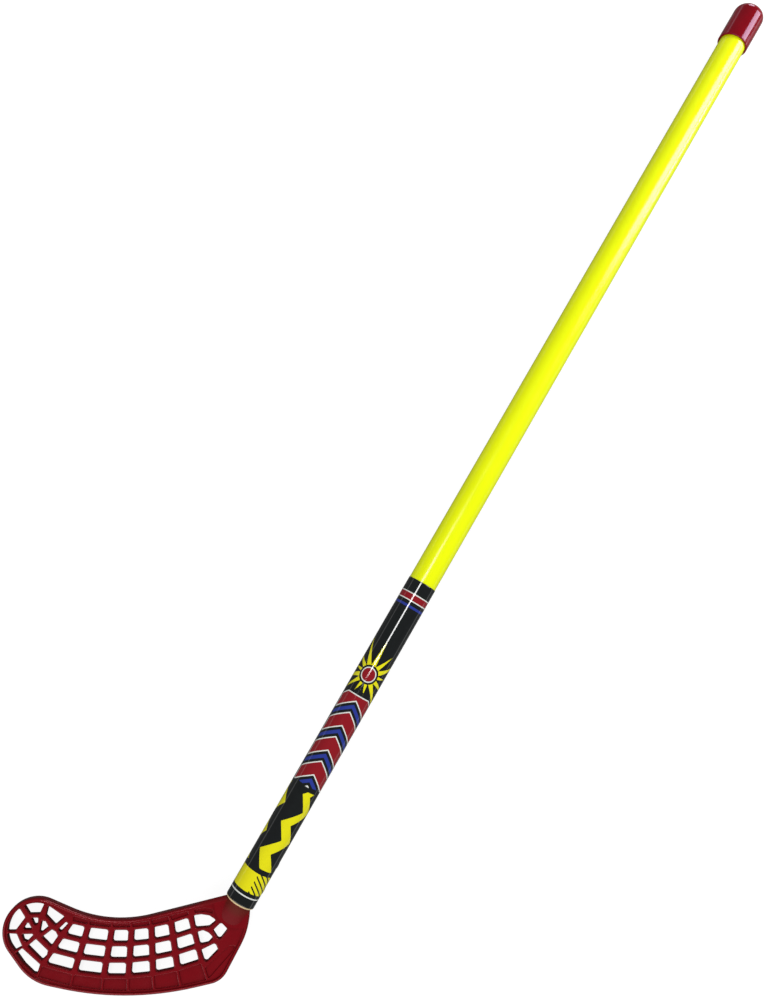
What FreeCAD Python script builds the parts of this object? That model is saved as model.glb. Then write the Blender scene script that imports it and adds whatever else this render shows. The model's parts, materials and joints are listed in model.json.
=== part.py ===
import FreeCAD, Part
import math
import os

Vector = FreeCAD.Vector
ALONG_SHAFT = Vector(1, 0, 0)
UP = Vector(0, 0, 1)
ORIGIN = Vector(0, 0, 0)
SQUARE_TO_SHAFT = FreeCAD.Rotation(Vector(1, 1, 1), 120)
TOUCH = 0.001

# A junior floorball stick, lying on one face as it rests on a floor.
# While it is built, x = 0 is the shaft's lower end, +X runs up the shaft to the cap,
# +Z is square to the blade, and the toe points to +Y. All sizes are in millimetres.

# Shaft
SHAFT_LENGTH = 892.0
SHAFT_DIAMETER = 24.0
SHAFT_WALL = 1.6
SHAFT_END_CHAMFER = 0.5

# Label film round the lower shaft
LABEL_START = 1.3
LABEL_LENGTH = 288.0
LABEL_FILM = 0.12
LABEL_ADHESIVE = 0.03

# End cap, pushed over the upper end
CAP_LENGTH = 39.0
CAP_WALL = 1.7
CAP_END_WALL = 3.0
CAP_CLEARANCE = 0.1
CAP_END_ROUND = 7.0
CAP_LIP_ROUND = 0.6

# Blade outline. Its own axes: a runs from toe to heel, b from floor edge to shaft,
# and both start at the centre of the shaft's lower end.
LIE_ANGLE = 60.0
BLADE_REACH = 180.0
BLADE_DROP = 67.5
TOE_RADIUS = 24.5
TOE_LEVEL = -17.6
TOE_FOOT_RADIUS = 40.0
TOE_FOOT_AHEAD = 21.0
TOE_FOOT_STRAIGHT = 9.6
BELLY_RADIUS = 240.0
BELLY_SHIFT = -0.95
HEEL_RADIUS = 17.0
HEEL_A = -23.5
HEEL_STRAIGHT = 12.1
HEEL_SIDE_STRAIGHT = 22.3
HEEL_SIDE_A = 8.2
HEEL_SIDE_B = -6.9
NECK_CORNER_RADIUS = 3.5
NECK_SIDE_B = 1.2
NECK_TOP_A = 1.3
NECK_TOP_B = 3.5
WAIST_SHIFT = -11.75
WAIST_LEVEL = -10.9
WAIST_STRAIGHT = 17.7

# Blade section
RIM_THICKNESS = 8.0
RIM_WIDTH = 2.8
RIM_ROUND = 2.0
RIM_RAMP = 0.5
LATTICE_THICKNESS = 5.8
PANEL_THICKNESS = 3.8
LEDGE_WIDTH = 0.9
ROW_RIB = 3.1
COLUMN_RIB = 4.6
PANEL_RIB = 2.0
CELL_CORNER = 1.8
PANEL_CORNER = 0.7
RIB_ROUND = 1.2
PANEL_ROUND = 0.6
ROUND_FLATS = 4
FLARE_SPARE = 0.3

# Lattice: rows follow arcs, columns run straight from the top rib to the bottom rib, and the bay
# next to the toe is wider than the others by TOE_BAY
ROWS = 3
COLUMNS = 5
TOE_BAY = 1.2
ROW_LOW_POINT = 0.4565
ROW_RISE = 8.66
LATTICE_LEVEL = -17.6
BOTTOM_BAND = 13.3
FIRST_COLUMN_TOP = -38.0
FIRST_COLUMN_FOOT = -28.0
LAST_COLUMN_TOP = 39.8
LAST_COLUMN_FOOT = 30.1
WEB_COLUMN_TOP = 26.8
WEB_COLUMN_FOOT = 6.0
BAND_REACH = 40.0

# Toe web. An opening at the rim has two angles about the hub and its inner corners' centres,
# and the others have their corners. Points are taken from the hub.
WEB_RIM = 3.8
RIM_CELLS = (
    (76.4, 112.7, ((2.1, 13.3), (-4.4, 13.3))),
    (129.5, 177.4, ((-9.1, 9.9), (-15.7, 0.9))),
    (187.5, 222.0, ((-14.4, -3.0), (-10.5, -11.2))),
)
TOE_CELLS = (
    ((7.6, 10.8), (9.2, 18.2), (21.6, 9.7), (14.6, 3.6)),
    ((-9.3, 0.9), (-5.7, 6.5), (-2.2, 0.9)),
    ((-3.4, 9.4), (1.9, 9.4), (1.6, 4.8), (-0.9, 4.2)),
    ((3.2, -2.6), (4.7, 7.0), (7.4, 6.6), (9.8, 2.6)),
    ((-9.9, -2.5), (-0.4, -2.5), (-6.0, -8.1), (-8.4, -7.1)),
    ((17.2, 0.2), (23.0, 5.9), (24.5, 4.4), (18.8, -1.5)),
    ((5.1, -5.2), (12.6, 0.4), (15.4, -1.4), (17.1, -4.5), (12.1, -12.0)),
    ((-5.2, -11.5), (0.8, -6.4), (10.0, -15.1), (9.3, -18.8), (5.7, -22.1)),
    ((-14.6, -17.4), (-9.2, -12.9), (4.6, -25.1), (2.7, -31.8), (0.0, -31.3)),
)
TOE_CELL_CORNER = 0.9

# Openings of their own shape near the heel: a of each point, and how many rows it lies under the top rib
HEEL_CELLS = (
    ((-35.6, 0.09), (-29.5, 0.23), (-23.2, 0.52), (-17.3, 1.02), (-23.5, 1.15), (-33.6, 0.88)),
    ((-32.4, 1.15), (-27.8, 1.19), (-23.4, 1.48), (-19.9, 1.87), (-23.7, 2.05), (-29.8, 1.96)),
    ((-29.2, 2.29), (-18.2, 2.24), (-15.8, 2.7), (-25.6, 3.15)),
    ((-14.0, 1.25), (-8.8, 1.83), (-15.2, 2.19), (-20.2, 1.47)),
)
HEEL_CELL_CORNER = 1.8

# Sunk groove that arches over the first of them, in two runs that overlap, with points given the same way
HEEL_GROOVE = (
    ((-34.5, -0.21), (-26.0, -0.03), (-26.0, 0.17), (-34.5, -0.05)),
    ((-27.0, -0.05), (-20.6, 0.28), (-20.6, 0.49), (-27.0, 0.14)),
)

# Sunk panel under them, against the heel's rim
HEEL_PANEL_A = -7.0
HEEL_PANEL_ROW = 2.79
HEEL_PANEL_DROP = 5.5

# Neck and tang
COLLAR_RADIUS = 19.5
NECK_LENGTH = 18.0
NECK_SINK = 0.2
NECK_MIDDLE = 0.5
NECK_SPREAD = 0.6
TANG_LENGTH = 62.0
TANG_WALL = 2.8
TANG_CORE_START = 4.0
TANG_CHAMFER = 1.0
GLUE_FILM = 0.35
GLUE_SKIN = 0.02
GLUE_START = 0.3
GLUE_LENGTH = 50.0

# Tapping screws, in a row on the heel side
SCREW_FIRST = 16.0
SCREW_PITCH = 22.0
SCREW_COUNT = 2
SCREW_DIAMETER = 2.9
SCREW_LENGTH = 7.0
SCREW_TIP = 1.6
SCREW_HEAD_DIAMETER = 5.4
SCREW_HEAD_HEIGHT = 1.3
SCREW_PROUD = 0.3
SCREW_CLEARANCE = 0.02
SCREW_SLOT_LENGTH = 3.0
SCREW_SLOT_WIDTH = 0.7
SCREW_SLOT_DEPTH = 0.7

# Sizes that follow from the ones above
shaft_radius = SHAFT_DIAMETER / 2
bore_radius = shaft_radius - SHAFT_WALL
tang_radius = bore_radius - GLUE_FILM
label_inner_radius = shaft_radius + LABEL_ADHESIVE
label_outer_radius = label_inner_radius + LABEL_FILM
cap_bore_radius = shaft_radius + CAP_CLEARANCE
cap_radius = cap_bore_radius + CAP_WALL
cap_end = SHAFT_LENGTH + CAP_END_WALL
cap_start = cap_end - CAP_LENGTH
hub_a = TOE_RADIUS - BLADE_REACH
lattice_height = BLADE_DROP + LATTICE_LEVEL - BOTTOM_BAND
row_height = lattice_height / ROWS

# The rows' arcs, from where they lie lowest between the outer columns and their rise at the first one
row_arc_end = hub_a + WEB_COLUMN_TOP
row_arc_a = row_arc_end + (FIRST_COLUMN_TOP - row_arc_end) * ROW_LOW_POINT
row_arc_radius = ((FIRST_COLUMN_TOP - row_arc_a) ** 2 + ROW_RISE**2) / (2 * ROW_RISE)
row_arc_b = LATTICE_LEVEL + row_arc_radius

# The waist's arc, from its level and the straight run between it and the toe's round
waist_a = hub_a / 2 + WAIST_SHIFT
waist_over_toe = WAIST_LEVEL - TOE_LEVEL
waist_run = (waist_a - hub_a) ** 2 + waist_over_toe**2 - TOE_RADIUS**2 - WAIST_STRAIGHT**2
waist_radius = waist_run / (2 * (TOE_RADIUS - waist_over_toe))


def lift_over_belly(distance, radius, straight):
    """How far a round's foot lies over the belly's, with a straight run between the two rounds."""
    step = BELLY_RADIUS - radius
    return step - math.sqrt(step**2 + straight**2 - distance**2)


belly_a = hub_a / 2 + BELLY_SHIFT
toe_foot_a = hub_a + TOE_FOOT_AHEAD
toe_foot_lift = lift_over_belly(belly_a - toe_foot_a, TOE_FOOT_RADIUS, TOE_FOOT_STRAIGHT)
heel_lift = lift_over_belly(HEEL_A - belly_a, HEEL_RADIUS, HEEL_STRAIGHT)
heel_b = heel_lift + HEEL_RADIUS - BLADE_DROP

# The heel side's arc, from the straight run between it and the heel's round
heel_back = HEEL_SIDE_A - HEEL_A
heel_side_run = heel_back**2 + (heel_b - HEEL_SIDE_B) ** 2 - HEEL_RADIUS**2 - HEEL_SIDE_STRAIGHT**2
heel_side_radius = heel_side_run / (2 * (heel_back - HEEL_RADIUS))


def belt(rounds, grow=0):
    """Closed wire of arcs joined by straight tangents, clockwise; a hollow arc's radius is negative.

    Growing every radius moves the whole wire outwards by that much.
    """
    stops = [(Vector(a, b, 0), radius + grow) for a, b, radius in rounds]
    normals = []
    for i, (centre, radius) in enumerate(stops):
        ahead, ahead_radius = stops[(i + 1) % len(stops)]
        gap = ahead - centre
        slant = round((radius - ahead_radius) / gap.Length, 9)
        heading = math.atan2(gap.y, gap.x) - math.asin(slant)
        normals.append(Vector(-math.sin(heading), math.cos(heading), 0))
    arcs = []
    for i, (centre, radius) in enumerate(stops):
        middle = (normals[i - 1] + normals[i]).normalize()
        arcs.append([centre + normal * radius for normal in (normals[i - 1], middle, normals[i])])
    edges = []
    for i, arc in enumerate(arcs):
        if arcs[i - 1][2].distanceToPoint(arc[0]) > TOUCH:
            edges.append(Part.LineSegment(arcs[i - 1][2], arc[0]).toShape())
        edges.append(Part.Arc(*arc).toShape())
    return Part.Wire(edges)


def rounded(points, radius, margins=None):
    """Belt inside a clockwise polygon: each edge moved in by its margin, each corner rounded."""
    margins = margins or [0] * len(points)
    centres = inset(points, [margin + radius for margin in margins])
    return [(a, b, radius) for a, b in centres]


def inset(points, margins):
    """Clockwise polygon whose edges are moved inwards, each by its own margin."""
    lines = []
    for i, (a0, b0) in enumerate(points):
        a1, b1 = points[(i + 1) % len(points)]
        length = math.hypot(a1 - a0, b1 - b0)
        normal_a = (b1 - b0) / length
        normal_b = (a0 - a1) / length
        lines.append((normal_a, normal_b, normal_a * a0 + normal_b * b0 + margins[i]))
    moved = []
    for i, (p, q, c) in enumerate(lines):
        r, s, d = lines[i - 1]
        det = p * s - q * r
        moved.append(((c * s - q * d) / det, (p * d - c * r) / det))
    return moved


def prism(wire, low, high):
    face = Part.Face(wire)
    face.translate(UP * low)
    return face.extrude(UP * (high - low))


def along_shaft(radius, start, length):
    return Part.makeCylinder(radius, length, ALONG_SHAFT * start, ALONG_SHAFT)


def blade_outline():
    return belt(
        [
            (hub_a, TOE_LEVEL, TOE_RADIUS),
            (waist_a, WAIST_LEVEL + waist_radius, -waist_radius),
            (NECK_TOP_A, NECK_TOP_B, NECK_CORNER_RADIUS),
            (HEEL_SIDE_A - NECK_CORNER_RADIUS, NECK_SIDE_B, NECK_CORNER_RADIUS),
            (HEEL_SIDE_A - heel_side_radius, HEEL_SIDE_B, heel_side_radius),
            (HEEL_A, heel_b, HEEL_RADIUS),
            (belly_a, BELLY_RADIUS - BLADE_DROP, BELLY_RADIUS),
            (toe_foot_a, toe_foot_lift + TOE_FOOT_RADIUS - BLADE_DROP, TOE_FOOT_RADIUS),
        ]
    )


def rib_arc_point(a, depth):
    """Point at a on the rib arc that lies this deep under the top rib's arc."""
    radius = row_arc_radius + depth
    return Vector(a, row_arc_b - math.sqrt(radius**2 - (a - row_arc_a) ** 2), 0)


def column_lines():
    """Top and foot of each column rib's centre line, from the heel to the toe web."""
    last_top = hub_a + LAST_COLUMN_TOP
    last_foot = hub_a + LAST_COLUMN_FOOT
    bays = COLUMNS - 1 + TOE_BAY
    spots = []
    for share in [i / bays for i in range(COLUMNS)] + [1]:
        top = FIRST_COLUMN_TOP + (last_top - FIRST_COLUMN_TOP) * share
        foot = FIRST_COLUMN_FOOT + (last_foot - FIRST_COLUMN_FOOT) * share
        spots.append((top, foot))
    spots.append((hub_a + WEB_COLUMN_TOP, hub_a + WEB_COLUMN_FOOT))
    return [(rib_arc_point(top, 0), rib_arc_point(foot, lattice_height)) for top, foot in spots]


def between_columns(right, left, start, end):
    """Corners between two column lines, clockwise; 0 is the columns' top and 1 their foot."""
    corners = []
    for (top, foot), share in ((left, start), (right, start), (right, end), (left, end)):
        corner = top + (foot - top) * share
        corners.append((corner.x, corner.y))
    return corners


def lattice_cells():
    columns = column_lines()
    margins = (ROW_RIB / 2, COLUMN_RIB / 2) * 2
    cells = []
    for right, left in zip(columns, columns[1:]):
        for row in range(ROWS):
            corners = between_columns(right, left, row / ROWS, (row + 1) / ROWS)
            cells.append(rounded(corners, CELL_CORNER, margins))
    return cells


def from_hub(radius, angle):
    turn = math.radians(angle)
    return (hub_a + radius * math.cos(turn), TOE_LEVEL + radius * math.sin(turn))


def rim_cell(start, end, points):
    """Opening along the toe's rim: an arc between two angles, and rounds about the inner points."""
    reach = TOE_RADIUS - WEB_RIM
    corners = [from_hub(reach - TOE_CELL_CORNER, angle) for angle in (end, start)]
    corners += [(hub_a + a, TOE_LEVEL + b) for a, b in points]
    rounds = [(a, b, TOE_CELL_CORNER) for a, b in corners]
    return rounds[:1] + [(hub_a, TOE_LEVEL, reach)] + rounds[1:]


def web_cells():
    cells = [rim_cell(*cell) for cell in RIM_CELLS]
    for points in TOE_CELLS:
        placed = [(hub_a + a, TOE_LEVEL + b) for a, b in points]
        cells.append(rounded(placed, TOE_CELL_CORNER))
    return cells


def heel_cells():
    cells = []
    for points in HEEL_CELLS:
        placed = [rib_arc_point(a, row * row_height) for a, row in points]
        cells.append(rounded([(p.x, p.y) for p in placed], HEEL_CELL_CORNER))
    return cells


def panels(field):
    """Belts of the sunk panels between the lattice and the rim; each ends on the field's edge."""
    face = Part.Face(field)
    arc_centre = Vector(row_arc_a, row_arc_b, 0)

    def outward(point):
        return (point - arc_centre).normalize()

    def edge_point(start, direction):
        ray = Part.LineSegment(start, start + direction * BAND_REACH).toShape()
        return max(face.common(ray).Vertexes, key=lambda v: v.Point.distanceToPoint(start)).Point

    columns = column_lines()
    half = PANEL_RIB / 2
    plans = []
    for (right_top, right_foot), (left_top, left_foot) in zip(columns, columns[1:]):
        left_edge = edge_point(left_top, -outward(left_top))
        right_edge = edge_point(right_top, -outward(right_top))
        plans.append(((left_edge, right_edge, right_top, left_top), (0, half, half, half)))
        left_edge = edge_point(left_foot, outward(left_foot))
        right_edge = edge_point(right_foot, outward(right_foot))
        plans.append(((left_foot, right_foot, right_edge, left_edge), (half, half, 0, half)))
    first_foot = columns[0][1]
    start = first_foot + outward(first_foot) * HEEL_PANEL_DROP
    heel = rib_arc_point(HEEL_PANEL_A, HEEL_PANEL_ROW * row_height)
    right_edge = edge_point(heel, Vector(1, 0, 0))
    low_edge = edge_point(heel, outward(heel))
    left_edge = edge_point(start, outward(start))
    plans.append(((start, heel, right_edge, low_edge, left_edge), (0, 0, 0, 0, half)))
    for run in HEEL_GROOVE:
        plans.append(([rib_arc_point(a, row * row_height) for a, row in run], None))
    return [rounded([(p.x, p.y) for p in points], PANEL_CORNER, margins) for points, margins in plans]


def level_edges(shape, level):
    """Edges of a shape that lie flat at this height."""
    return [
        edge
        for edge in shape.Edges
        if abs(edge.BoundBox.ZMin - level) < TOUCH and abs(edge.BoundBox.ZMax - level) < TOUCH
    ]


def both_faces(shapes):
    return shapes + [shape.mirror(ORIGIN, UP) for shape in shapes]


def flare(rounds, size):
    """Cutter that rounds the edge about an opening or a panel, in flats along a quarter circle."""
    steps = []
    for i in range(ROUND_FLATS + 1):
        turn = math.pi / 2 * i / ROUND_FLATS
        steps.append(Vector(1 - math.cos(turn), math.sin(turn) - 1, 0) * size)
    # The last flat runs on a little, out of the surface
    steps[-1] += (steps[-1] - steps[-2]) * FLARE_SPARE
    wires = []
    for step in steps:
        wire = belt(rounds, step.x)
        wire.translate(UP * (LATTICE_THICKNESS / 2 + step.y))
        wires.append(wire)
    return Part.makeLoft(wires, True, True)


def blade_plate():
    """Flat lattice plate in the blade's own axes, alike on both faces."""
    outline = blade_outline()
    half = RIM_THICKNESS / 2
    plate = prism(outline, -half, half)
    plate = plate.makeFillet(RIM_ROUND, level_edges(plate, half) + level_edges(plate, -half))

    # The lattice lies in a shallow tray inside the rim, and the tray stops at the neck's collar
    tray_floor = outline.makeOffset2D(-RIM_WIDTH)
    tray_brim = outline.makeOffset2D(RIM_RAMP - RIM_WIDTH)
    tray_floor.translate(UP * LATTICE_THICKNESS / 2)
    tray_brim.translate(UP * half)
    tray = Part.makeLoft([tray_floor, tray_brim], True, True)
    tray = tray.cut(Part.makeCylinder(COLLAR_RADIUS, RIM_THICKNESS))

    field = outline.makeOffset2D(-RIM_WIDTH - LEDGE_WIDTH)
    inside = prism(field, -half, half)
    cells = lattice_cells() + web_cells() + heel_cells()
    openings = [prism(belt(cell), -half, half).common(inside) for cell in cells]
    flares = [flare(cell, RIB_ROUND).common(inside) for cell in cells]
    for panel in panels(field):
        flares += [prism(belt(panel), PANEL_THICKNESS / 2, half), flare(panel, PANEL_ROUND)]
    return plate.cut(both_faces([tray])).cut(openings + both_faces(flares))


def neck():
    """Neck that turns from the tang's round section to the blade's thickness."""
    end_height = RIM_THICKNESS / 2 - NECK_SINK
    middle = (tang_radius + NECK_SPREAD, (tang_radius + end_height) / 2 + NECK_SPREAD)
    sections = []
    for share, (width, height) in ((NECK_MIDDLE, middle), (1, (tang_radius, end_height))):
        section = Part.Wire(Part.Ellipse(ORIGIN, width, height).toShape())
        section.Placement = FreeCAD.Placement(ALONG_SHAFT * -NECK_LENGTH * share, SQUARE_TO_SHAFT)
        sections.append(section)
    root = Part.Wire(Part.Circle(ORIGIN, UP, tang_radius).toShape())
    root.Placement = FreeCAD.Placement(ORIGIN, SQUARE_TO_SHAFT)
    return Part.makeLoft([root] + sections, True)


def screw_shapes(clearance=0, headroom=0):
    """Countersunk screws driven in from the heel side; with clearance and headroom, their holes."""
    head = SCREW_HEAD_DIAMETER / 2 + clearance
    shank = SCREW_DIAMETER / 2 + clearance
    profile = [
        (0, -headroom),
        (head, -headroom),
        (head, 0),
        (shank, SCREW_HEAD_HEIGHT),
        (shank, SCREW_LENGTH - SCREW_TIP),
        (0, SCREW_LENGTH + clearance),
    ]
    if not headroom:
        profile.remove((head, -headroom))
    outline = Part.makePolygon([Vector(r, 0, depth) for r, depth in profile + profile[:1]])
    body = Part.Face(outline).revolve(ORIGIN, UP, 360)
    shapes = []
    for i in range(SCREW_COUNT):
        seat = Vector(SCREW_FIRST + i * SCREW_PITCH, -shaft_radius - SCREW_PROUD, 0)
        shape = body.copy()
        shape.Placement = FreeCAD.Placement(seat, FreeCAD.Rotation(ALONG_SHAFT, -90))
        shapes.append(shape)
    return shapes


def screw_holes():
    return screw_shapes(SCREW_CLEARANCE, SHAFT_WALL)


def blade_screws():
    screws = []
    for screw in screw_shapes():
        centre = screw.Placement.Base
        slot = (SCREW_SLOT_LENGTH, SCREW_SLOT_WIDTH)
        for length, width in (slot, slot[::-1]):
            corner = centre - Vector(length / 2, SCREW_SLOT_DEPTH, width / 2)
            screw = screw.cut(Part.makeBox(length, 2 * SCREW_SLOT_DEPTH, width, corner))
        screws.append(screw)
    return Part.Compound(screws)


def blade():
    plate = blade_plate()
    plate.rotate(ORIGIN, UP, -LIE_ANGLE)
    inside_tube = Part.makeBox(BLADE_REACH, 2 * BLADE_REACH, RIM_THICKNESS)
    inside_tube.translate(Vector(0, -BLADE_REACH, -RIM_THICKNESS / 2))
    tang = along_shaft(tang_radius, 0, TANG_LENGTH)
    tip = [edge for edge in tang.Edges if edge.BoundBox.XMin > TANG_LENGTH - TOUCH]
    tang = tang.makeChamfer(TANG_CHAMFER, tip)
    core_length = TANG_LENGTH - TANG_CORE_START
    tang = tang.cut(along_shaft(tang_radius - TANG_WALL, TANG_CORE_START, core_length))
    return plate.cut(inside_tube).fuse([neck(), tang]).removeSplitter().cut(screw_holes())


def tang_glue():
    outer = along_shaft(bore_radius - GLUE_SKIN, GLUE_START, GLUE_LENGTH)
    inner = along_shaft(tang_radius + GLUE_SKIN, GLUE_START, GLUE_LENGTH)
    return outer.cut([inner] + screw_holes())


def shaft_tube():
    tube = along_shaft(shaft_radius, 0, SHAFT_LENGTH)
    tube = tube.makeChamfer(SHAFT_END_CHAMFER, [e for e in tube.Edges if e.BoundBox.XMax < TOUCH])
    return tube.cut([along_shaft(bore_radius, 0, SHAFT_LENGTH)] + screw_holes())


def wrap_label():
    outer = along_shaft(label_outer_radius, LABEL_START, LABEL_LENGTH)
    inner = along_shaft(label_inner_radius, LABEL_START, LABEL_LENGTH)
    return outer.cut([inner] + screw_holes())


def end_cap():
    body = along_shaft(cap_radius, cap_start, CAP_LENGTH)
    body = body.makeFillet(CAP_END_ROUND, [e for e in body.Edges if e.BoundBox.XMin > cap_end - TOUCH])
    bore = along_shaft(cap_bore_radius, cap_start, SHAFT_LENGTH - cap_start)
    cap = body.cut(bore)
    lip = [e for e in cap.Edges if e.BoundBox.XMax < cap_start + TOUCH]
    return cap.makeFillet(CAP_LIP_ROUND, lip)


def lay_down(pieces):
    """Roll the stick about its shaft until the toe meets the floor, and centre it on the origin."""
    toe = pieces["blade"].optimalBoundingBox().YMax - RIM_ROUND
    roll = math.degrees(math.asin((cap_radius - RIM_THICKNESS / 2) / toe))
    for shape in pieces.values():
        shape.rotate(ORIGIN, ALONG_SHAFT, -roll)
    box = Part.Compound(list(pieces.values())).optimalBoundingBox()
    shift = Vector(-(box.XMin + box.XMax) / 2, -(box.YMin + box.YMax) / 2, -box.ZMin)
    for shape in pieces.values():
        shape.translate(shift)
    print("roll", roll, "shaft's lower end at", shift)


pieces = {
    "shaft_tube": shaft_tube(),
    "blade": blade(),
    "tang_glue": tang_glue(),
    "blade_screws": blade_screws(),
    "wrap_label": wrap_label(),
    "end_cap": end_cap(),
}
lay_down(pieces)
os.makedirs("parts", exist_ok=True)
for name, shape in pieces.items():
    print(name, shape.isValid(), len(shape.Solids), round(shape.Volume, 1))
    shape.exportStep(f"parts/{name}.step")
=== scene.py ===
import json
import math

import bpy
import numpy as np
from mathutils import Matrix, Vector


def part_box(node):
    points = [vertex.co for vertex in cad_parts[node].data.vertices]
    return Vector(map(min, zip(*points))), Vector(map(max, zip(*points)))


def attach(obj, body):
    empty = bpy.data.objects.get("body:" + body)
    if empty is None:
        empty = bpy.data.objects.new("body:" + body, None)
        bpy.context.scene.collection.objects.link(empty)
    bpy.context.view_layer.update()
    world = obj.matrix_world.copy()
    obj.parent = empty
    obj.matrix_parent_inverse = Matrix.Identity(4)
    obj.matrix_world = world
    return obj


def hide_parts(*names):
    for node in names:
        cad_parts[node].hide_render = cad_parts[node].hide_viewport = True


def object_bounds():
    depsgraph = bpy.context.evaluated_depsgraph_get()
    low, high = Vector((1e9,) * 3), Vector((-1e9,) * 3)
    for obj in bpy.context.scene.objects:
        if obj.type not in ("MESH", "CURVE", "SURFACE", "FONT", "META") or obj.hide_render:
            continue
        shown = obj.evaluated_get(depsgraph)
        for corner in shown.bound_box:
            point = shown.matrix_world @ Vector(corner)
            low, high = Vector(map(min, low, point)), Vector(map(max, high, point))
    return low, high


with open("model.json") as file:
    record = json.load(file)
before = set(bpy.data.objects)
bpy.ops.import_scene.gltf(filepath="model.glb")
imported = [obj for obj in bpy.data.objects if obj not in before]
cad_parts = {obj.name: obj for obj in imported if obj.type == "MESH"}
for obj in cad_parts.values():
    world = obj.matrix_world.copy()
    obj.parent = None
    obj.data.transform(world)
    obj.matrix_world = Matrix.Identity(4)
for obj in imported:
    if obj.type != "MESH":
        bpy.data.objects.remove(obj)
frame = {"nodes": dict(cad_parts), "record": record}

# A junior floorball stick lying on a white floor: a yellow lacquered tube, a red moulded blade,
# a printed label film and a soft vinyl end cap.
# Lengths are metres, and MM turns millimetres into them. The stick's own axes run along the shaft
# from its lower end, across it towards the toe, and square to the blade.
MM = 0.001
cad_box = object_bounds()

# Places read from the frame
butt_mount = next(m for m in frame["record"]["mounts"] if m["name"] == "butt_end")
axis_y, axis_z = butt_mount["pos_m"][1:]
tube_low, tube_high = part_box("shaft_tube")
label_low, label_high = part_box("wrap_label")
screw_low, screw_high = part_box("blade_screws")
screw_middle = (screw_low + screw_high) / 2
rest_roll = math.atan2(screw_middle.z - axis_z, axis_y - screw_middle.y)
shaft_foot = Vector((tube_low.x, axis_y, axis_z))
stick_axes = Matrix.Rotation(-rest_roll, 3, "X")

# Shaft: lengths in mm, its mesh's sides and rings, and the angle in degrees past which an edge stays
# sharp. The lacquer stops short of the cut end, on a ragged edge.
TUBE_CHAMFER = 0.5
TUBE_SIDES = 128
TUBE_RINGS = 40
SHARP_EDGE = 30
BARE_END = 1.25
BARE_EDGE_WAVE = 0.3

# Blade's colour and finish: how far from the middle of the tube's mouth, in mm, the glue smear with
# painted shade and the matt neck with painted shade are full and are gone, and how level a face is,
# by its normal's upright part, from walls darkened by painted shade to flats and from flats to the
# neck's slope
GLUE_AND_SHADE_SMEAR = (9.5, 12.5)
MATT_AND_SHADED_NECK = (26, 34)
WALL_TO_FLAT = (0.35, 0.97)
FLAT_TO_SLOPE = (0.997, 0.98)

# Label film, in mm: it meets itself on the underside, with one end lapped over the other
FILM_THICKNESS = 0.12
FILM_LAP = 4.0
FILM_LAP_GAP = 0.02
FILM_STEP_RUN = 1.0
FILM_CELL = 0.7

# Label inks, in the order they are printed. An ink's edge, by its half width, and the white round
# the red are in mm.
INKS = {"yellow_ink": "#E2DC10", "white_ink": "#DDE0DA", "red_ink": "#8A101C", "blue_ink": "#27378F"}
INK_EDGE = 0.06
WHITE_OUTLINE = 0.9

# Label art: lengths in mm. A pair is a start and an end up the shaft from the film's lower edge, but the
# hatch's pair is the direction square to its lines, along and round the shaft. A bolt's slope is mm
# round the shaft for each mm along it, and a chevron's is mm along for each mm round.
WHITE_RING = (7.1, 8.1)
BLUE_RING = (265, 267)
RED_RING = (271, 276)

BLOCK = (11, 27)
HATCH_DIRECTION = (0.8, 0.6)
HATCH_PITCH = 3.4
HATCH_LINE = 1.1
HATCH_START = 1

BOLTS = (31, 99)
BOLT_COUNT = 3
BOLT_WAVE = 26.0
BOLT_SLOPE = 0.8
BOLT_TWIST = 9.0
BOLT_HALF_WIDTH = 5.7
BOLT_TAPER = 2.4

CHEVRONS = (103, 183)
CHEVRON_HALF_WIDTH = 15.5
CHEVRON_SLOPE = 0.75
CHEVRON_PITCH = 22.0
FIRST_CHEVRON = 119
RED_CHEVRON = 11.0
BLUE_CHEVRON = 3.4

BURST_ALONG = 202
BURST_ACROSS = -2
BURST_DISC = 5.5
BURST_EYE = 8
BURST_RAYS = 13
BURST_RAY_HALF_WIDTH = 2.5
BURST_RAY_LENGTHS = 3
BURST_SHORT_RAY = 17
BURST_RAY_STEP = 9
BURST_TOP_RAY_MORE = 16

# Camera, fitted to the photograph: its place in the stick's axes in mm, and its turns in degrees
PHOTO_HEIGHT = 1000
FOCAL_PIXELS = 903.9
SENSOR = 36.0
CAMERA_PLACE = (235.2, 63.76, 750.2)
CAMERA_TURN = 59.474
CAMERA_TILT = 7.417

# Floor, in metres: half its side, the share of its white that no shadow dims, which is full beyond
# the stick's surroundings, and how close a reflection keeps the shadow
FLOOR_HALF = 12.0
FLOOR_WHITE = 0.89
FLOOR_SURROUNDINGS = (1.0, 2.5)
NEAR_FLOOR = 0.15

# Sky: its light on the stick, and how much brighter mirrored rays find it
SKY_LIGHT = 0.1
SKY_MIRRORED = 0.1

# Lamps, in the stick's axes and mm: both ends of the middle line, the width across it, the place that
# the lamp faces, and its radiance
LAMPS = {
    "strip": ((140, 400, 1500), (480, 400, 1500), 250, (330, 0, 0), 25),
    "window": ((1400, -1149, 964), (2450, -1149, 964), 1092, (1925, 0, 0), 10.5),
    "low_window": ((1740, -1900, 180), (2370, -1900, 180), 320, (2055, 0, 180), 20),
    "beyond_blade": ((-2600, -2500, 1500), (-2600, 2500, 1500), 2500, (-60, 0, 0), 3),
    "beyond_cap": ((4300, 100, 1200), (4300, 1700, 1200), 1600, (850, 0, 0), 10.5),
}

# Sockets of a mix node by number, since several share a name: a colour mix's two colours and its
# result, and a value mix's two values
COLOUR_A, COLOUR_B, COLOUR_OUT = 6, 7, 2
VALUE_A, VALUE_B = 2, 3

# Range that holds most of a noise's values
NOISE_RANGE = {"From Min": 0.3, "From Max": 0.7}


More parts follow.
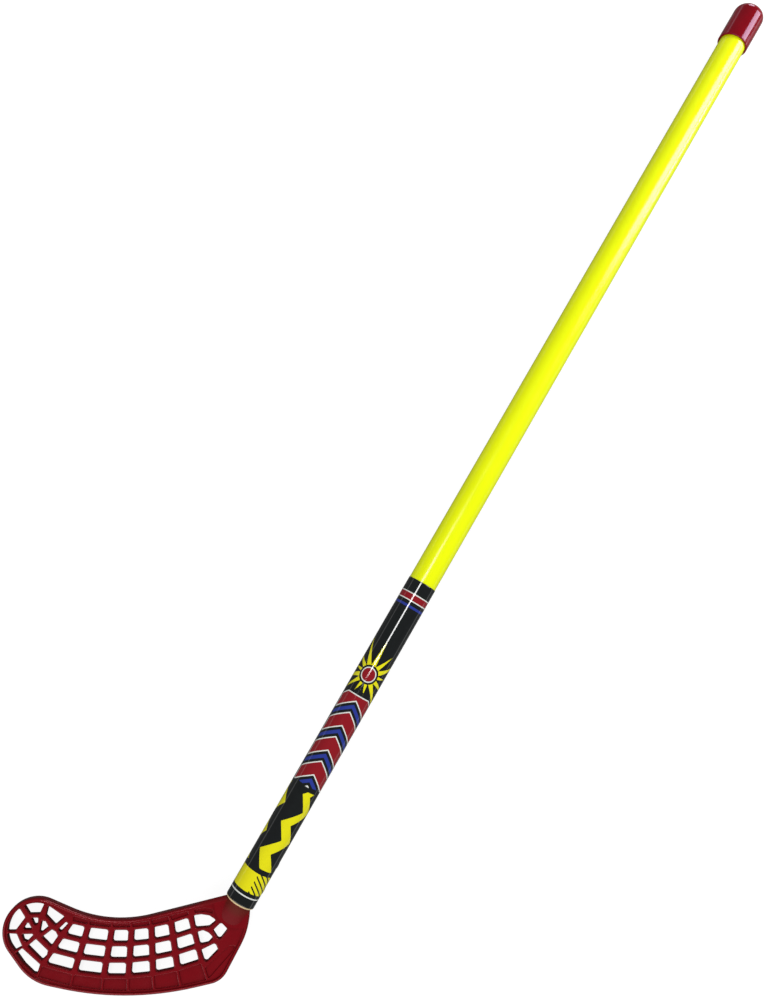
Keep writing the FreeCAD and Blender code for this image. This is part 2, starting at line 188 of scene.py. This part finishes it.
def radii(node):
    """Smallest and largest distance of a node's vertices from the shaft's axis, in mm."""
    mesh = frame["nodes"][node].data
    points = np.empty(len(mesh.vertices) * 3)
    mesh.vertices.foreach_get("co", points)
    points = points.reshape(-1, 3)
    distance = np.hypot(points[:, 1] - axis_y, points[:, 2] - axis_z) / MM
    return distance.min(), distance.max()


def in_frame(points):
    """Turn points given in the stick's axes and millimetres into the frame's metres."""
    return np.asarray(points) * MM @ np.array(stick_axes).T + np.array(shaft_foot)


def surface(name, points, body, wrap_rows=False, wrap_columns=False):
    """Quad mesh over a grid of points in the stick's axes, shape (rows, columns, 3), riding on a body.

    Each quad joins a point with the next in its row and in its column, and a wrapped side joins
    its last line to its first. Faces look along the cross product of the step within a row and
    the step to the next row.
    """
    rows, columns = points.shape[:2]
    index = np.arange(rows * columns).reshape(rows, columns)
    if wrap_rows:
        index = np.vstack([index, index[:1]])
    if wrap_columns:
        index = np.hstack([index, index[:, :1]])
    corners = (index[:-1, :-1], index[:-1, 1:], index[1:, 1:], index[1:, :-1])
    quads = np.stack([corner.ravel() for corner in corners], axis=1)
    mesh = bpy.data.meshes.new(name)
    mesh.from_pydata(in_frame(points.reshape(-1, 3)), [], quads)
    mesh.shade_smooth()
    piece = bpy.data.objects.new(name, mesh)
    bpy.context.scene.collection.objects.link(piece)
    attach(piece, body)
    return piece


def around_shaft(along, radius, angle):
    """Points at a radius about the shaft; angle 0 looks square off the blade, and grows to the heel side."""
    along, radius, angle = np.broadcast_arrays(along, radius, angle)
    return np.stack([along, -radius * np.sin(angle), radius * np.cos(angle)], axis=-1)


def linear(colour):
    """Linear red, green, blue and alpha of an sRGB hex colour."""
    parts = [int(colour[i : i + 2], 16) / 255 for i in (1, 3, 5)]
    return [p / 12.92 if p <= 0.04045 else ((p + 0.055) / 1.055) ** 2.4 for p in parts] + [1.0]


def connect(tree, node, inputs):
    """Set a node's inputs by name or number, or link those that are given another node's output."""
    for key, value in inputs.items():
        if isinstance(value, bpy.types.NodeSocket):
            tree.links.new(value, node.inputs[key])
        else:
            node.inputs[key].default_value = value


def add(tree, kind, inputs=None, **settings):
    """Add a node with its settings and its inputs."""
    node = tree.nodes.new(kind)
    for key, value in settings.items():
        setattr(node, key, value)
    connect(tree, node, inputs or {})
    return node


def new_material(name):
    """Empty material with its node tree, and the tree's Principled shader."""
    material = bpy.data.materials.new(name)
    material.use_nodes = True
    return material, material.node_tree, material.node_tree.nodes["Principled BSDF"]


def finish_with(piece, material):
    """Give a new piece its one material."""
    piece.data.materials.clear()
    piece.data.materials.append(material)


def per_metre(size_mm):
    """Texture scale whose pattern repeats at about this size."""
    return 1 / (size_mm * MM)


# Materials


def yellow_lacquer():
    """Fluorescent yellow lacquer sprayed on a wound fibreglass tube.

    It gives an even neon colour, a gloss with slight orange peel, and bare pale laminate at the cut end.
    """
    material, tree, shader = new_material("yellow_lacquer_on_fibreglass")
    place = add(tree, "ShaderNodeTexCoord").outputs["Object"]
    along = add(tree, "ShaderNodeSeparateXYZ", {0: place}).outputs["X"]

    tone = add(tree, "ShaderNodeTexNoise", {"Vector": place, "Scale": per_metre(45), "Detail": 3.0})
    paint = add(
        tree,
        "ShaderNodeMix",
        {"Factor": tone.outputs["Fac"], COLOUR_A: linear("#E7F200"), COLOUR_B: linear("#F0FB00")},
        data_type="RGBA",
    )
    ragged = add(tree, "ShaderNodeTexNoise", {"Vector": place, "Scale": per_metre(1.6), "Detail": 2.0})
    lowest_edge = tube_low.x + (BARE_END - BARE_EDGE_WAVE / 2) * MM
    edge = add(
        tree,
        "ShaderNodeMath",
        {0: ragged.outputs["Fac"], 1: BARE_EDGE_WAVE * MM, 2: lowest_edge},
        operation="MULTIPLY_ADD",
    )
    bare = add(tree, "ShaderNodeMath", {0: along, 1: edge.outputs[0]}, operation="LESS_THAN")
    colour = add(
        tree,
        "ShaderNodeMix",
        {"Factor": bare.outputs[0], COLOUR_A: paint.outputs[COLOUR_OUT], COLOUR_B: linear("#D9C294")},
        data_type="RGBA",
    )
    dull = add(tree, "ShaderNodeTexNoise", {"Vector": place, "Scale": per_metre(12), "Detail": 5.0})
    gloss = add(
        tree,
        "ShaderNodeMapRange",
        {"Value": dull.outputs["Fac"], **NOISE_RANGE, "To Min": 0.17, "To Max": 0.25},
    )
    rough = add(tree, "ShaderNodeMix", {"Factor": bare.outputs[0], VALUE_A: gloss.outputs[0], VALUE_B: 0.6})
    peel = add(tree, "ShaderNodeTexNoise", {"Vector": place, "Scale": per_metre(2.2), "Detail": 1.0})
    bump = add(
        tree,
        "ShaderNodeBump",
        {"Height": peel.outputs["Fac"], "Strength": 0.25, "Distance": 0.03 * MM},
    )
    finish = {
        "Base Color": colour.outputs[COLOUR_OUT],
        "Roughness": rough.outputs[0],
        "Normal": bump.outputs[0],
        "IOR": 1.5,
        "Specular IOR Level": 0.5,
    }
    connect(tree, shader, finish)
    return material


def red_polypropylene():
    """Deep red polypropylene, injection moulded.

    It gives a semi-gloss with a fine mould grain, faint flow marks, and a brown smear about the tube's
    mouth that is glue and painted shade under the tube's end. Walls and rounded edges are darker by
    painted shade, by how far their faces tilt from level, and the neck's slope is matt and darker by
    painted shade.
    """
    material, tree, shader = new_material("red_moulded_polypropylene")
    coordinates = add(tree, "ShaderNodeTexCoord")
    place = coordinates.outputs["Object"]
    tone = add(
        tree,
        "ShaderNodeTexNoise",
        {"Vector": place, "Scale": per_metre(30), "Detail": 4.0, "Distortion": 1.2},
    )
    plastic = add(
        tree,
        "ShaderNodeMix",
        {"Factor": tone.outputs["Fac"], COLOUR_A: linear("#6E0A12"), COLOUR_B: linear("#7B0D16")},
        data_type="RGBA",
    )
    tilt = add(tree, "ShaderNodeSeparateXYZ", {0: coordinates.outputs["Normal"]})
    level = add(tree, "ShaderNodeMath", {0: tilt.outputs["Z"]}, operation="ABSOLUTE")
    wall, flat = WALL_TO_FLAT
    unshaded_share = add(
        tree,
        "ShaderNodeMapRange",
        {"Value": level.outputs[0], "From Min": wall, "From Max": flat},
    )
    # Painted shade: walls and rounded edges turn a darker red, by how far each face tilts from level
    skin = add(
        tree,
        "ShaderNodeMix",
        {"Factor": unshaded_share.outputs[0], COLOUR_A: linear("#4E060A"), COLOUR_B: plastic.outputs[COLOUR_OUT]},
        data_type="RGBA",
    )
    mouth = add(tree, "ShaderNodeVectorMath", {0: place, 1: shaft_foot}, operation="DISTANCE")
    matt_and_shade_full, matt_and_shade_gone = MATT_AND_SHADED_NECK
    close = add(
        tree,
        "ShaderNodeMapRange",
        {"Value": mouth.outputs["Value"], "From Min": matt_and_shade_gone * MM, "From Max": matt_and_shade_full * MM},
    )
    lying, slope = FLAT_TO_SLOPE
    sloping = add(
        tree,
        "ShaderNodeMapRange",
        {"Value": level.outputs[0], "From Min": lying, "From Max": slope},
    )
    # Painted shade and a matt finish: near the tube's mouth the neck's slope turns a darker red and rougher
    matt_and_shade = add(tree, "ShaderNodeMath", {0: close.outputs[0], 1: sloping.outputs[0]}, operation="MULTIPLY")
    neck = add(
        tree,
        "ShaderNodeMix",
        {"Factor": matt_and_shade.outputs[0], COLOUR_A: skin.outputs[COLOUR_OUT], COLOUR_B: linear("#68060C")},
        data_type="RGBA",
    )
    # Brown smear about the tube's mouth: glue, and painted shade under the tube's end
    smear_full, smear_gone = GLUE_AND_SHADE_SMEAR
    glue_and_shade = add(
        tree,
        "ShaderNodeMapRange",
        {
            "Value": mouth.outputs["Value"],
            "From Min": smear_gone * MM,
            "From Max": smear_full * MM,
            "To Max": 0.55,
        },
    )
    colour = add(
        tree,
        "ShaderNodeMix",
        {"Factor": glue_and_shade.outputs[0], COLOUR_A: neck.outputs[COLOUR_OUT], COLOUR_B: linear("#4A2410")},
        data_type="RGBA",
    )
    flow = add(tree, "ShaderNodeTexNoise", {"Vector": place, "Scale": per_metre(9), "Detail": 4.0})
    gloss = add(
        tree,
        "ShaderNodeMapRange",
        {"Value": flow.outputs["Fac"], **NOISE_RANGE, "To Min": 0.18, "To Max": 0.28},
    )
    rough = add(tree, "ShaderNodeMix", {"Factor": matt_and_shade.outputs[0], VALUE_A: gloss.outputs[0], VALUE_B: 0.7})
    # A mould's grain is about 0.1 mm, and is drawn coarser so that it shows
    grain = add(tree, "ShaderNodeTexNoise", {"Vector": place, "Scale": per_metre(0.6), "Detail": 2.0})
    bump = add(
        tree,
        "ShaderNodeBump",
        {"Height": grain.outputs["Fac"], "Strength": 0.3, "Distance": 0.04 * MM},
    )
    finish = {
        "Base Color": colour.outputs[COLOUR_OUT],
        "Roughness": rough.outputs[0],
        "Normal": bump.outputs[0],
        "IOR": 1.49,
        "Specular Tint": linear("#FFB0B8"),
        "Specular IOR Level": 0.28,
    }
    connect(tree, shader, finish)
    return material


def crimson_vinyl():
    """Crimson plasticised vinyl, dipped, so that its skin is smooth and wet-looking with a soft wave."""
    material, tree, shader = new_material("crimson_dipped_vinyl")
    place = add(tree, "ShaderNodeTexCoord").outputs["Object"]
    tone = add(tree, "ShaderNodeTexNoise", {"Vector": place, "Scale": per_metre(14), "Detail": 2.0})
    colour = add(
        tree,
        "ShaderNodeMix",
        {"Factor": tone.outputs["Fac"], COLOUR_A: linear("#74020C"), COLOUR_B: linear("#850512")},
        data_type="RGBA",
    )
    wave = add(tree, "ShaderNodeTexNoise", {"Vector": place, "Scale": per_metre(4.5), "Detail": 1.0})
    bump = add(
        tree,
        "ShaderNodeBump",
        {"Height": wave.outputs["Fac"], "Strength": 0.3, "Distance": 0.05 * MM},
    )
    dull = add(tree, "ShaderNodeTexNoise", {"Vector": place, "Scale": per_metre(3), "Detail": 5.0})
    gloss = add(
        tree,
        "ShaderNodeMapRange",
        {"Value": dull.outputs["Fac"], **NOISE_RANGE, "To Min": 0.08, "To Max": 0.15},
    )
    finish = {
        "Base Color": colour.outputs[COLOUR_OUT],
        "Roughness": gloss.outputs[0],
        "Normal": bump.outputs[0],
        "IOR": 1.53,
        "Specular Tint": linear("#F0CCFF"),
        "Specular IOR Level": 0.36,
    }
    connect(tree, shader, finish)
    return material


def printed_film():
    """Polypropylene label film, printed and covered with a clear layer.

    It gives a deep black ground with bright flat inks under a wet-looking gloss. Each ink's shape is a
    signed distance in mm that the film's vertices carry, so the edges are sharp.
    """
    material, tree, shader = new_material("printed_label_film")
    place = add(tree, "ShaderNodeTexCoord").outputs["Object"]
    mottle = add(tree, "ShaderNodeTexNoise", {"Vector": place, "Scale": per_metre(6), "Detail": 4.0})
    colour = add(
        tree,
        "ShaderNodeMix",
        {"Factor": mottle.outputs["Fac"], COLOUR_A: linear("#0C0F10"), COLOUR_B: linear("#15191A")},
        data_type="RGBA",
    )
    for name, ink in INKS.items():
        shape = add(tree, "ShaderNodeAttribute", attribute_name=name)
        cover = add(
            tree,
            "ShaderNodeMapRange",
            {"Value": shape.outputs["Fac"], "From Min": -INK_EDGE, "From Max": INK_EDGE},
        )
        colour = add(
            tree,
            "ShaderNodeMix",
            {"Factor": cover.outputs[0], COLOUR_A: colour.outputs[COLOUR_OUT], COLOUR_B: linear(ink)},
            data_type="RGBA",
        )
    wrinkle = add(tree, "ShaderNodeTexNoise", {"Vector": place, "Scale": per_metre(18), "Detail": 2.0})
    bump = add(
        tree,
        "ShaderNodeBump",
        {"Height": wrinkle.outputs["Fac"], "Strength": 0.05, "Distance": 0.1 * MM},
    )
    dull = add(tree, "ShaderNodeTexNoise", {"Vector": place, "Scale": per_metre(8), "Detail": 5.0})
    gloss = add(
        tree,
        "ShaderNodeMapRange",
        {"Value": dull.outputs["Fac"], **NOISE_RANGE, "To Min": 0.05, "To Max": 0.1},
    )
    finish = {
        "Base Color": colour.outputs[COLOUR_OUT],
        "Roughness": gloss.outputs[0],
        "Normal": bump.outputs[0],
        "IOR": 1.49,
        "Specular IOR Level": 0.5,
    }
    connect(tree, shader, finish)
    return material


def hot_melt_glue():
    """Amber hot-melt glue, squeezed out and set, which gives a cloudy, waxy ring."""
    material, tree, shader = new_material("amber_hot_melt_glue")
    place = add(tree, "ShaderNodeTexCoord").outputs["Object"]
    cloud = add(tree, "ShaderNodeTexNoise", {"Vector": place, "Scale": per_metre(5), "Detail": 3.0})
    colour = add(
        tree,
        "ShaderNodeMix",
        {"Factor": cloud.outputs["Fac"], COLOUR_A: linear("#8A6A38"), COLOUR_B: linear("#B8955A")},
        data_type="RGBA",
    )
    finish = {
        "Base Color": colour.outputs[COLOUR_OUT],
        "Roughness": 0.4,
        "Subsurface Weight": 0.2,
        "Subsurface Radius": (1 * MM, 0.6 * MM, 0.3 * MM),
    }
    connect(tree, shader, finish)
    return material


def zinc_steel():
    """Zinc-plated steel, turned and barrel-plated, with a dull bright skin and tiny scuffs."""
    material, tree, shader = new_material("zinc_plated_steel")
    place = add(tree, "ShaderNodeTexCoord").outputs["Object"]
    skin = add(tree, "ShaderNodeTexNoise", {"Vector": place, "Scale": per_metre(0.8), "Detail": 5.0})
    colour = add(
        tree,
        "ShaderNodeMix",
        {"Factor": skin.outputs["Fac"], COLOUR_A: linear("#9A9B98"), COLOUR_B: linear("#C4C4BE")},
        data_type="RGBA",
    )
    rough = add(
        tree,
        "ShaderNodeMapRange",
        {"Value": skin.outputs["Fac"], **NOISE_RANGE, "To Min": 0.25, "To Max": 0.45},
    )
    finish = {"Base Color": colour.outputs[COLOUR_OUT], "Roughness": rough.outputs[0], "Metallic": 1.0}
    connect(tree, shader, finish)
    return material


def ray_kinds(tree):
    """Light Path node, and a value that is 1 for rays that gloss has mirrored or glass let through."""
    rays = add(tree, "ShaderNodeLightPath")
    mirrored = add(
        tree,
        "ShaderNodeMath",
        {0: rays.outputs["Is Glossy Ray"], 1: rays.outputs["Is Transmission Ray"]},
        operation="MAXIMUM",
    )
    return rays, mirrored.outputs[0]


def white_board():
    """Matt white studio board, with a share of its own white, so that the shadow on it stays pale.

    That white is there for the eye and for reflections, and lights nothing. A reflection close to
    the floor keeps the shadow.
    """
    material, tree, shader = new_material("matt_white_board")
    rays, mirrored = ray_kinds(tree)
    far = add(
        tree,
        "ShaderNodeMath",
        {0: rays.outputs["Ray Length"], 1: NEAR_FLOOR},
        operation="GREATER_THAN",
    )
    reflected = add(tree, "ShaderNodeMath", {0: mirrored, 1: far.outputs[0]}, operation="MULTIPLY")
    seen = add(
        tree,
        "ShaderNodeMath",
        {0: rays.outputs["Is Camera Ray"], 1: reflected.outputs[0]},
        operation="MAXIMUM",
    )
    place = add(tree, "ShaderNodeTexCoord").outputs["Object"]
    distance = add(tree, "ShaderNodeVectorMath", {0: place}, operation="LENGTH")
    near, beyond = FLOOR_SURROUNDINGS
    share = add(
        tree,
        "ShaderNodeMapRange",
        {"Value": distance.outputs["Value"], "From Min": near, "From Max": beyond, "To Min": FLOOR_WHITE},
    )
    white = add(tree, "ShaderNodeMath", {0: seen.outputs[0], 1: share.outputs[0]}, operation="MULTIPLY")
    finish = {
        "Base Color": linear("#7C7C7C"),
        "Roughness": 0.9,
        "Specular IOR Level": 0.0,
        "Emission Color": linear("#FFFFFF"),
        "Emission Strength": white.outputs[0],
    }
    connect(tree, shader, finish)
    return material


# Shaft


def shaft_tube():
    """Tube: a closed profile of bore, wall ends and outside, turned once about the shaft's axis.

    Rings along the outside lie between its two end corners. The profile runs down the outside, so the
    faces look inwards.
    """
    bore, outside = radii("shaft_tube")
    length = (tube_high.x - tube_low.x) / MM
    outside_rings = np.linspace(length, TUBE_CHAMFER, TUBE_RINGS)
    along = np.concatenate([[0, length], outside_rings, [0]])
    radius = np.concatenate([[bore, bore], np.full(TUBE_RINGS, outside), [outside - TUBE_CHAMFER]])
    angle = np.linspace(0, 2 * np.pi, TUBE_SIDES, endpoint=False)
    points = around_shaft(along[:, None], radius[:, None], angle[None, :])
    piece = surface("shaft_tube_lacquered", points, "stick", wrap_rows=True, wrap_columns=True)
    piece.data.set_sharp_from_angle(angle=math.radians(SHARP_EDGE))
    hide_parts("shaft_tube")
    return piece


# Label


def band(value, low, high):
    """Signed distance into the band between two values, positive inside."""
    return np.minimum(value - low, high - value)


def stripes(value, pitch, width):
    """Signed distance into bands of one width that repeat at a pitch, with one centred on zero."""
    return width / 2 - np.abs((value + pitch / 2) % pitch - pitch / 2)


def squarely(slope):
    """Share of a distance along an axis that lies square to a line of this slope."""
    return 1 / math.hypot(1, slope)


def hatched_block(along, across):
    """Band round the shaft, cut by slanting lines on the heel side."""
    line_along, line_across = HATCH_DIRECTION
    lines = stripes(line_along * along + line_across * across, HATCH_PITCH, HATCH_LINE)
    hatch = np.minimum(lines, across - HATCH_START)
    return np.minimum(band(along, *BLOCK), -hatch)


def bolts(along, across, girth):
    """Zigzag ribbons up the shaft, evenly round it, each thinner towards its upper end."""
    start, end = BOLTS
    climb = (along - start) / (end - start)
    zigzag = np.abs((along - start) % BOLT_WAVE - BOLT_WAVE / 2) - BOLT_WAVE / 4
    beside = across - BOLT_SLOPE * zigzag - BOLT_TWIST * climb
    half_width = BOLT_HALF_WIDTH - BOLT_TAPER * climb
    ribbon = stripes(beside, girth / BOLT_COUNT, 2 * half_width)
    return np.minimum(squarely(BOLT_SLOPE) * ribbon, band(along, start, end))


def chevrons(along, across, girth):
    """Red chevrons that point up the shaft, with a thin blue one between, in two columns, front and back."""
    side = np.abs((across + girth / 4) % (girth / 2) - girth / 4)
    point = along + CHEVRON_SLOPE * side - FIRST_CHEVRON
    zone = np.minimum(band(along, *CHEVRONS), CHEVRON_HALF_WIDTH - side)
    red = squarely(CHEVRON_SLOPE) * stripes(point, CHEVRON_PITCH, RED_CHEVRON)
    blue = squarely(CHEVRON_SLOPE) * stripes(point - CHEVRON_PITCH / 2, CHEVRON_PITCH, BLUE_CHEVRON)
    return np.minimum(red, zone), np.minimum(blue, zone)


def burst(along, across):
    """Rays about a disc on the label's front, tapered to their tips, and the disc.

    The rays have a few lengths in turn, with some more on the one straight up the shaft.
    """
    up, right = along - BURST_ALONG, across - BURST_ACROSS
    reach = np.hypot(up, right)
    turn = np.arctan2(right, up) / (2 * np.pi) * BURST_RAYS
    ray = np.round(turn)
    beside = reach * np.abs(np.sin((turn - ray) * 2 * np.pi / BURST_RAYS))
    length = BURST_SHORT_RAY + BURST_RAY_STEP * (ray % BURST_RAY_LENGTHS) + BURST_TOP_RAY_MORE * (ray == 0)
    rays = np.minimum(BURST_RAY_HALF_WIDTH * (1 - reach / length) - beside, reach - BURST_EYE)
    return rays, BURST_DISC - reach


def label_art(along, across):
    """Ink shapes of the label as signed distances in mm: a hatched block, bolts, chevrons, a burst, rings.

    along runs up the shaft from the film's lower edge, and across runs round it from its front.
    """
    girth = 2 * np.pi * radii("wrap_label")[1]
    red_chevrons, blue_chevrons = chevrons(along, across, girth)
    rays, disc = burst(along, across)
    red = np.maximum.reduce([red_chevrons, disc, band(along, *RED_RING)])
    return {
        "yellow_ink": np.maximum.reduce([hatched_block(along, across), bolts(along, across, girth), rays]),
        "white_ink": np.maximum(red + WHITE_OUTLINE, band(along, *WHITE_RING)),
        "red_ink": red,
        "blue_ink": np.maximum(blue_chevrons, band(along, *BLUE_RING)),
    }


def label_film():
    """Film: a sheet rolled once round the shaft, whose last stretch climbs over the first by its thickness.

    The climb is a smooth step, three times its run squared less twice its run cubed.
    """
    radius = radii("wrap_label")[1]
    start = (label_low.x - tube_low.x) / MM
    length = (label_high.x - label_low.x) / MM
    girth = 2 * np.pi * radius
    along = np.linspace(0, length, int(length / FILM_CELL) + 1)[:, None]
    across = np.linspace(-girth / 2, girth / 2 + FILM_LAP, int((girth + FILM_LAP) / FILM_CELL) + 1)[None, :]
    climb = np.clip((across - girth / 2) / FILM_STEP_RUN + 0.5, 0, 1)
    lift = (FILM_THICKNESS + FILM_LAP_GAP) * climb**2 * (3 - 2 * climb)
    # Rows run down the shaft, so the sheet's faces look inwards and its thickness grows outwards
    along = along[::-1]
    film = surface("label_film", around_shaft(start + along, radius + lift, across / radius), "stick")
    for name, distance in label_art(*np.broadcast_arrays(along, across)).items():
        attribute = film.data.attributes.new(name, "FLOAT", "POINT")
        attribute.data.foreach_set("value", distance.ravel().astype(np.float32))
    wall = film.modifiers.new("film_thickness", "SOLIDIFY")
    wall.thickness = FILM_THICKNESS * MM
    wall.offset = -1
    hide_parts("wrap_label")
    return film


# Floor, light and camera


def floor():
    """Square board under the stick."""
    corners = np.array([(-1, -1), (1, -1), (1, 1), (-1, 1)]) * FLOOR_HALF
    mesh = bpy.data.meshes.new("floor")
    mesh.from_pydata([(x, y, cad_box[0].z) for x, y in corners], [], [(0, 1, 2, 3)])
    board = bpy.data.objects.new("floor", mesh)
    bpy.context.scene.collection.objects.link(board)
    finish_with(board, white_board())


def soft_box(name, start, end, width, target, radiance):
    """Lamp whose middle line runs between two places and which faces a third, of a given radiance.

    Places are in the stick's axes, in mm.
    """
    start, end, target = (Vector(in_frame(place)) for place in (start, end, target))
    lamp = bpy.data.lights.new(name, "AREA")
    lamp.shape = "RECTANGLE"
    lamp.size = (end - start).length
    lamp.size_y = width * MM
    lamp.energy = radiance * math.pi * lamp.size * lamp.size_y
    middle = (start + end) / 2
    along = (end - start).normalized()
    across = (middle - target).cross(along).normalized()
    holder = bpy.data.objects.new(name, lamp)
    turn = Matrix((along, across, along.cross(across))).transposed()
    holder.matrix_world = Matrix.Translation(middle) @ turn.to_4x4()
    bpy.context.scene.collection.objects.link(holder)


def studio():
    """A strip overhead, two windows beyond the cap on the heel side, two far boxes, and a dim sky.

    The round shaft mirrors the strip and the windows. The boxes lie too far along the shaft for that,
    so they add light and no glare.
    """
    for name, lamp in LAMPS.items():
        soft_box(name, *lamp)
    white_sky()


def white_sky():
    """Sky that the eye sees white, and that lights the stick and shows in its gloss only a little."""
    world = bpy.data.worlds.new("studio")
    bpy.context.scene.world = world
    world.use_nodes = True
    tree = world.node_tree
    rays, mirrored = ray_kinds(tree)
    light = add(
        tree,
        "ShaderNodeMath",
        {0: mirrored, 1: SKY_MIRRORED, 2: SKY_LIGHT},
        operation="MULTIPLY_ADD",
    )
    seen = add(
        tree,
        "ShaderNodeMath",
        {0: rays.outputs["Is Camera Ray"], 1: light.outputs[0]},
        operation="MAXIMUM",
    )
    connect(tree, tree.nodes["Background"], {"Color": linear("#FFFFFF"), "Strength": seen.outputs[0]})


def camera():
    """Camera at the photograph's place, turned about its line of sight, then tilted along the shaft."""
    lens = bpy.data.cameras.new("camera")
    lens.sensor_width = SENSOR
    lens.lens = SENSOR * FOCAL_PIXELS / PHOTO_HEIGHT
    holder = bpy.data.objects.new("camera", lens)
    turn = Matrix.Rotation(math.radians(CAMERA_TURN), 3, "Z")
    tilt = Matrix.Rotation(math.radians(CAMERA_TILT), 3, "Y")
    facing = stick_axes @ (turn @ tilt).transposed()
    holder.matrix_world = Matrix.Translation(Vector(in_frame(CAMERA_PLACE))) @ facing.to_4x4()
    bpy.context.scene.collection.objects.link(holder)
    bpy.context.scene.camera = holder


finish_with(shaft_tube(), yellow_lacquer())
finish_with(label_film(), printed_film())
for node, material in (
    ("blade", red_polypropylene()),
    ("end_cap", crimson_vinyl()),
    ("tang_glue", hot_melt_glue()),
    ("blade_screws", zinc_steel()),
):
    frame["nodes"][node].material_slots[0].material = material

floor()
studio()
camera()
bpy.context.scene.view_settings.view_transform = "Standard"
